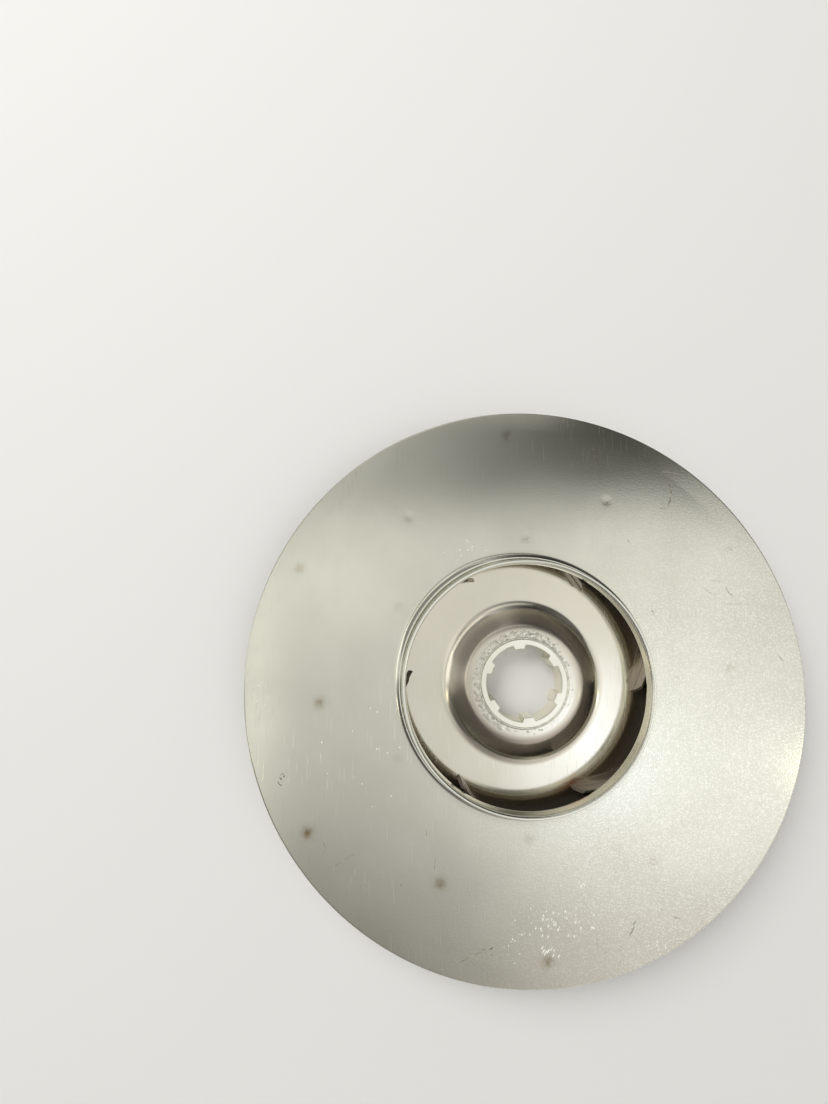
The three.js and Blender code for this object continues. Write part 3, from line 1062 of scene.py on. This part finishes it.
@dataclass
class VaneSet:
    """Six swept vanes, each a channel of thin sheet: a web across the passage and a flange on each plate."""

    floor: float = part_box("vane_1")[0].z / MM
    ceiling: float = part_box("vane_1")[1].z / MM
    inner_bend: float = 0.4
    path_steps: int = 60
    flange_opening: float = 5.0
    flange_closing: float = 1.5
    closed_reach: float = VANE_SHEET / 2 + 0.15

    def section(self) -> Array:
        """The channel's outer face: offset from the web's line and height, with round bends at both flanges.

        Returns:
            The face's points, with the metal on their left.
        """
        half, bend = VANE_SHEET / 2, self.inner_bend + VANE_SHEET
        low = arc((bend - half, self.floor + bend), bend, 180, 270, 6)
        high = arc((bend - half, self.ceiling - bend), bend, 90, 180, 6)
        lower = straight(np.linspace(low[-1][0], FLANGE_WIDTH, 5), self.floor)
        upper = straight(np.linspace(FLANGE_WIDTH, high[0][0], 5), self.ceiling)
        return run(upper, high, np.linspace(high[-1], low[0], 8), low, lower)

    def spiral(self, radius: Array, offset: Array) -> tuple[Array, Array]:
        """A logarithmic spiral and its parallels: the angle is the turn per e-fold times the radius's log.

        Args:
            radius: how far out each point of the vane's line lies.
            offset: how far beside the line each point lies, to the left of its way out.

        Returns:
            The x and y of each point.
        """
        turn = math.radians(VANE_TURN_PER_E_FOLD_DEG)
        angle = turn * np.log(radius / VANE_START_RADIUS)
        heading = angle + math.atan(turn)
        return (radius * np.cos(angle) - offset * np.sin(heading),
                radius * np.sin(angle) + offset * np.cos(heading))

    def channel(self) -> tuple[Array, Array]:
        """One vane: the section swept out along the spiral, its start leaning back with height.

        The flanges are narrow at the eye, widen in an S-curve and narrow again at the outlet.

        Returns:
            The points, ordered section by path, and the faces with both ends closed.
        """
        outer = self.section()
        loop = np.concatenate([outer, offset_line(outer, VANE_SHEET)[::-1]])
        offset, height = loop[:, 0][:, None], loop[:, 1][:, None]
        lean = VANE_LEAD_SETBACK * (height - self.floor) / (self.ceiling - self.floor)
        slope = math.sin(math.atan(1 / math.radians(VANE_TURN_PER_E_FOLD_DEG)))
        start = VANE_START_RADIUS + lean * slope
        radius = start * (VANE_END_RADIUS / start) ** np.linspace(0, 1, self.path_steps)
        opening = (eased(ramp(radius, FLANGE_START_RADIUS, self.flange_opening))
                   * ramp(VANE_END_RADIUS - radius, 0, self.flange_closing))
        narrow = np.minimum(offset, self.closed_reach)
        x, y = self.spiral(radius, narrow + (offset - narrow) * opening)
        points = np.stack([x, y, height + 0 * x], axis=-1)
        faces = ring_faces(len(loop), self.path_steps, wrap_columns=False)
        k = np.arange(len(outer) - 1)
        first = np.column_stack([k, k + 1, len(loop) - 2 - k, len(loop) - 1 - k]) * self.path_steps
        last = first[:, ::-1] + self.path_steps - 1
        return points, np.concatenate([faces, first, last])

    def build(self) -> None:
        """Places the six vanes evenly round the axis."""
        points, faces = self.channel()
        for number in range(VANE_COUNT):
            turn = math.radians(VANE_PHASE_DEG + VANE_PITCH_DEG * number)
            c, s = math.cos(turn), math.sin(turn)
            shell = Shell(f"vane_sheet_{number + 1}")
            shell.add(points @ np.array([[c, s, 0], [-s, c, 0], [0, 0, 1]]), faces)
            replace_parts(shell.piece(Finishes.VANE), f"vane_{number + 1}")


class Heading(Enum):
    """The two ways across the dome: to the picture's right and to its top."""

    RIGHT = 0
    UP = 1


@dataclass(frozen=True)
class Shade:
    """A part of the dome that darkens along one heading, by a share that changes along the other."""

    name: str
    heading: Heading
    along: tuple[float, float]
    loss: float
    across: tuple[float, float]
    shares: tuple[float, float]


@dataclass(frozen=True)
class Lamp:
    """A bright patch of the dome: place, reach each way, colour, strength and the soft share of its reach.

    The two axes of a turned patch run to the back left and to the back right.
    """

    name: str
    place: tuple[float, float]
    reach: tuple[float, float]
    colour: str
    strength: float
    softness: float = 1.0
    turned: bool = False


@dataclass
class Studio:
    """A pale floor, a soft dome of light with a softbox in it, and the camera over the impeller.

    Places in the dome are given as a direction's x and y divided by its z.
    """

    floor_colour: str = "f4f3f0"
    floor_size: float = 3.0
    floor_roughness: float = 0.7
    near_clip: float = 0.005
    dome_strength: float = 0.712
    dome_colour: str = "fffffd"
    dome_rise: tuple[float, float] = (0.1, 0.35)
    front_colour: str = "fffaf7"
    front_reach: tuple[float, float] = (-0.3, -0.65)
    horizon_strength: float = 0.95
    horizon_rise: tuple[float, float] = (0.3, 0.12)
    softbox_place: tuple[float, float, float] = (-0.78, 0.91, 1.0)
    softbox_distance: float = 0.9
    softbox_size: float = 0.5
    softbox_watts: float = 4.2
    shades: tuple[Shade, ...] = (
        Shade("back", Heading.UP, (0.131, 0.258), 0.57, (-0.612, 0.287), (-0.17, 1.0)),
        Shade("back_edge", Heading.UP, (0.217, 0.267), 0.88, (-0.08, 0.494), (-0.1, 1.0)),
        Shade("front", Heading.UP, (-0.157, -0.729), 0.62, (-0.099, 0.487), (1.0, 0.0)),
        Shade("left", Heading.RIGHT, (-0.3, -0.45), 0.6, (-0.4, -0.25), (1.0, 0.0)),
        Shade("camera_side", Heading.UP, (0.12, 0.3), 0.65, (-0.18, -0.36), (0.0, 1.0)),
    )
    lamps: tuple[Lamp, ...] = (
        Lamp("front_panel", (0.577, -0.378), (0.819, 0.364), "f6faff", 0.43),
        Lamp("cool_window", (0.34, -0.25), (0.2, 0.22), "d4e2ff", 0.6),
        Lamp("left_strip", (-0.303, -0.2), (0.097, 0.6), "fffcf4", 0.32),
        Lamp("middle_panel", (-0.131, 0.059), (0.328, 0.224), "fffcf4", 0.22),
        Lamp("right_panel", (0.537, -0.022), (0.583, 0.462), "fffffd", 0.275),
        Lamp("left_lamp", (-0.6, -0.33), (0.28, 0.06), "fff4d6", 3.0),
        Lamp("right_lamp", (0.95, -0.33), (0.25, 0.06), "fff4d6", 3.0),
        Lamp("back_left_lamp", (0.7, -0.02), (0.2, 0.42), "fffaf0", 0.75, 0.35, True),
        Lamp("left_window", (-0.85, 0.02), (0.34, 0.26), "fffaf0", 0.68, 0.35),
        Lamp("back_lamp", (0.12, 0.54), (0.3, 0.17), "fffcf4", 0.42, 0.5),
        Lamp("back_right_glow", (0.8, 0.52), (0.5, 0.35), "fffcf4", 0.14),
    )

    def build(self) -> None:
        """Makes the camera, the floor and the light."""
        self.camera()
        self.floor()
        self.dome()
        self.softbox()

    def camera(self) -> None:
        """A wide-angle camera at the photograph's place, almost straight above."""
        data = bpy.data.cameras.new("camera")
        data.sensor_width = SENSOR_MM
        data.lens = SENSOR_MM * FOCAL_LENGTH_PX / PHOTO_HEIGHT_PX
        data.clip_start = self.near_clip
        made = new_object("camera", data)
        made.location = [value * MM for value in CAMERA_PLACE_MM]
        made.rotation_euler = [math.radians(value) for value in CAMERA_TILT_DEG]
        bpy.context.scene.camera = made

    def floor(self) -> None:
        """A flat pale sheet under the impeller, which isn't part of it."""
        half = self.floor_size / 2
        mesh = bpy.data.meshes.new("floor")
        corners = [(-half, -half, 0), (half, -half, 0), (half, half, 0), (-half, half, 0)]
        mesh.from_pydata(corners, [], [(0, 1, 2, 3)])
        # A matt pale ground, so that nothing is mirrored round the part
        material = bpy.data.materials.new("matt_pale_floor")
        material.use_nodes = True
        shader = material.node_tree.nodes["Principled BSDF"]
        shader.inputs["Base Color"].default_value = linear_colour(self.floor_colour)
        shader.inputs["Roughness"].default_value = self.floor_roughness
        mesh.materials.append(material)
        new_object("floor", mesh)

    def dome(self) -> None:
        """The dome: an even panel less its shades, the lamps on it, and a pale band along the horizon."""
        scene = bpy.context.scene
        scene.view_settings.view_transform = "Standard"
        scene.world = bpy.data.worlds.new("studio_dome")
        scene.world.use_nodes = True
        tree = scene.world.node_tree
        tree.nodes.clear()
        place = put(tree, "ShaderNodeTexCoord").outputs["Generated"]
        x, y, rise = put(tree, "ShaderNodeSeparateXYZ", (place,)).outputs
        level = put(tree, "ShaderNodeMath", (rise, self.dome_rise[0]), operation="MAXIMUM")
        u, v = [put(tree, "ShaderNodeMath", (side, level), operation="DIVIDE") for side in (x, y)]
        warmth = put(tree, "ShaderNodeMapRange", (v, *self.front_reach))
        colour = put(tree, "ShaderNodeMix", {"Factor": warmth, "A": linear_colour(self.dome_colour),
                                             "B": linear_colour(self.front_colour)}, data_type="RGBA")
        light = put(tree, "ShaderNodeBackground", (colour, self.panel(tree, rise, u, v)))
        sky = put(tree, "ShaderNodeCombineXYZ", (u, v))
        half = math.sqrt(0.5)
        turned_axes = [put(tree, "ShaderNodeVectorMath", (sky, (side, half, 0)), operation="DOT_PRODUCT")
                       for side in (-half, half)]
        for lamp in self.lamps:
            patch = self.patch(tree, lamp, turned_axes if lamp.turned else (u, v))
            glow = put(tree, "ShaderNodeBackground", (linear_colour(lamp.colour), patch), label=lamp.name)
            light = put(tree, "ShaderNodeAddShader", (light, glow))
        low = put(tree, "ShaderNodeMapRange", (rise, *self.horizon_rise, 0.0, self.horizon_strength))
        band = put(tree, "ShaderNodeBackground", (linear_colour(self.dome_colour), low))
        put(tree, "ShaderNodeOutputWorld", (put(tree, "ShaderNodeAddShader", (light, band)),))

    def panel(self, tree: Tree, rise: Socket, u: Node, v: Node) -> Node:
        """The even panel's strength: it sets in above the horizon, and each shade takes its share away.

        Args:
            tree: the world's node tree.
            rise: the direction's z.
            u: the direction's x divided by its z.
            v: the direction's y divided by its z.

        Returns:
            The last node.
        """
        strength = put(tree, "ShaderNodeMapRange", (rise, *self.dome_rise, 0.0, self.dome_strength))
        for shade in self.shades:
            along, across = (u, v) if shade.heading is Heading.RIGHT else (v, u)
            lost = put(tree, "ShaderNodeMapRange", (along, *shade.along, 0.0, -shade.loss),
                       interpolation_type="SMOOTHSTEP", label=shade.name)
            share = put(tree, "ShaderNodeMapRange", (across, *shade.across, *shade.shares),
                        interpolation_type="SMOOTHSTEP")
            left = put(tree, "ShaderNodeMath", (lost, share, 1.0), operation="MULTIPLY_ADD")
            strength = put(tree, "ShaderNodeMath", (strength, left), operation="MULTIPLY")
        return strength

    def patch(self, tree: Tree, lamp: Lamp, axes: tuple | list) -> Node:
        """A lamp's strength over the dome: its own, times an S-curve from the edge inwards on each axis.

        Args:
            tree: the world's node tree.
            lamp: the lamp.
            axes: the two nodes that give a direction's place in the dome.

        Returns:
            The last node.
        """
        strength = lamp.strength
        for value, middle, reach in zip(axes, lamp.place, lamp.reach):
            off = put(tree, "ShaderNodeMath", (value, middle), operation="SUBTRACT")
            away = put(tree, "ShaderNodeMath", (off,), operation="ABSOLUTE")
            part = put(tree, "ShaderNodeMapRange", (away, reach, reach * (1 - lamp.softness)),
                       interpolation_type="SMOOTHSTEP")
            strength = put(tree, "ShaderNodeMath", (part, strength), operation="MULTIPLY")
        return strength

    def softbox(self) -> None:
        """A square area light at the back left that lifts the floor and isn't mirrored in the steel."""
        data = bpy.data.lights.new("softbox", "AREA")
        data.shape = "SQUARE"
        data.size = self.softbox_size
        data.energy = self.softbox_watts
        place = np.array(self.softbox_place)
        place *= self.softbox_distance / np.linalg.norm(place)
        across = math.atan2(place[1], place[0])
        made = new_object("softbox", data)
        made.location = place
        made.visible_glossy = False
        made.rotation_euler = (math.acos(place[2] / self.softbox_distance), 0.0, across + math.pi / 2)


def main() -> None:
    """Builds the studio and the impeller's pieces in order."""
    logging.basicConfig(level=logging.INFO, format="%(name)s: %(message)s")
    welds = SpotWelds()
    Studio().build()
    plate = HubPlate(welds)
    plate.build()
    VaneSet().build()
    SplinedHub().build()
    HubWeld(plate).build()
    FrontShroud(welds).build()


if __name__ == "__main__":
    main()
